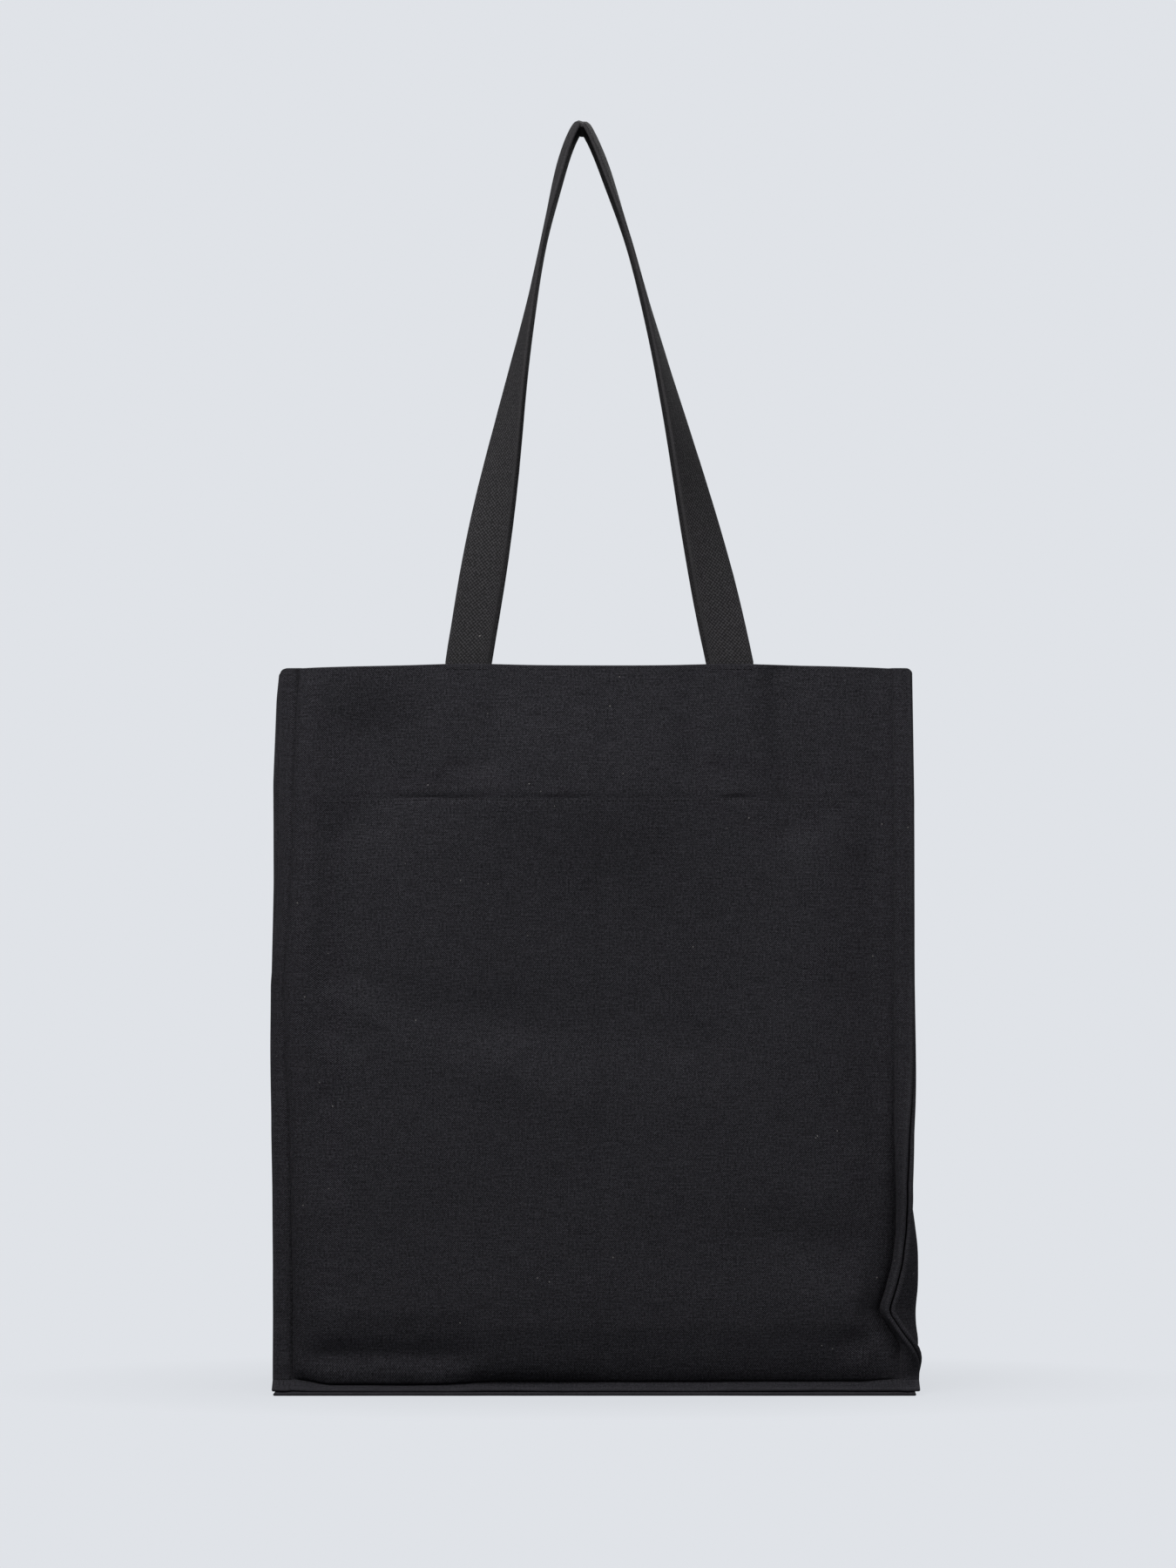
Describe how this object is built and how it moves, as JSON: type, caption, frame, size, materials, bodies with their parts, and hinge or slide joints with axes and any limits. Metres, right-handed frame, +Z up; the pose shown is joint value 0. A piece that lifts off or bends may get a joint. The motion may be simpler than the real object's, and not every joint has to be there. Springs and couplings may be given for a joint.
{
  "type": "canvas tote bag",
  "caption": "Boxy open-topped canvas bag with outstanding seams, a lined rim and a pair of long swinging carry handles.",
  "frame": {"origin": "on the floor under the middle of the base", "axes": "+Z up from the floor to the handles, +X to the right as seen from the front, the front wall faces -Y"},
  "size_m": [0.365, 0.125, 0.7372],
  "materials": {
    "canvas": "matte plain-weave cotton canvas",
    "facing_canvas": "matte plain-weave cotton canvas, inner side",
    "webbing": "matte woven cotton strap",
    "thread": "slightly glossy sewing thread"
  },
  "bodies": {
    "root": {"front_panel": "canvas", "back_panel": "canvas", "left_gusset": "canvas", "right_gusset": "canvas", "base_panel": "canvas", "front_facing": "facing_canvas", "back_facing": "facing_canvas", "left_facing": "facing_canvas", "right_facing": "facing_canvas", "front_left_strap_end": "webbing", "front_right_strap_end": "webbing", "back_left_strap_end": "webbing", "back_right_strap_end": "webbing", "front_left_seam_thread": "thread", "front_right_seam_thread": "thread", "back_left_seam_thread": "thread", "back_right_seam_thread": "thread", "front_bottom_seam_thread": "thread", "back_bottom_seam_thread": "thread", "left_bottom_seam_thread": "thread", "right_bottom_seam_thread": "thread", "front_facing_thread": "thread", "back_facing_thread": "thread", "left_facing_thread": "thread", "right_facing_thread": "thread", "front_left_strap_thread": "thread", "front_right_strap_thread": "thread", "back_left_strap_thread": "thread", "back_right_strap_thread": "thread"},
    "front_handle": {"front_handle": "webbing"},
    "back_handle": {"back_handle": "webbing"}
  },
  "joints": [
    {"name": "front_handle_swing", "type": "hinge", "parent": "root", "child": "front_handle", "pos_m": [0, -0.052, 0.4203], "axis": [1, 0, 0], "range_deg": [0, 175]},
    {"name": "back_handle_swing", "type": "hinge", "parent": "root", "child": "back_handle", "pos_m": [0, 0.052, 0.4203], "axis": [-1, 0, 0], "range_deg": [0, 175]}
  ]
}
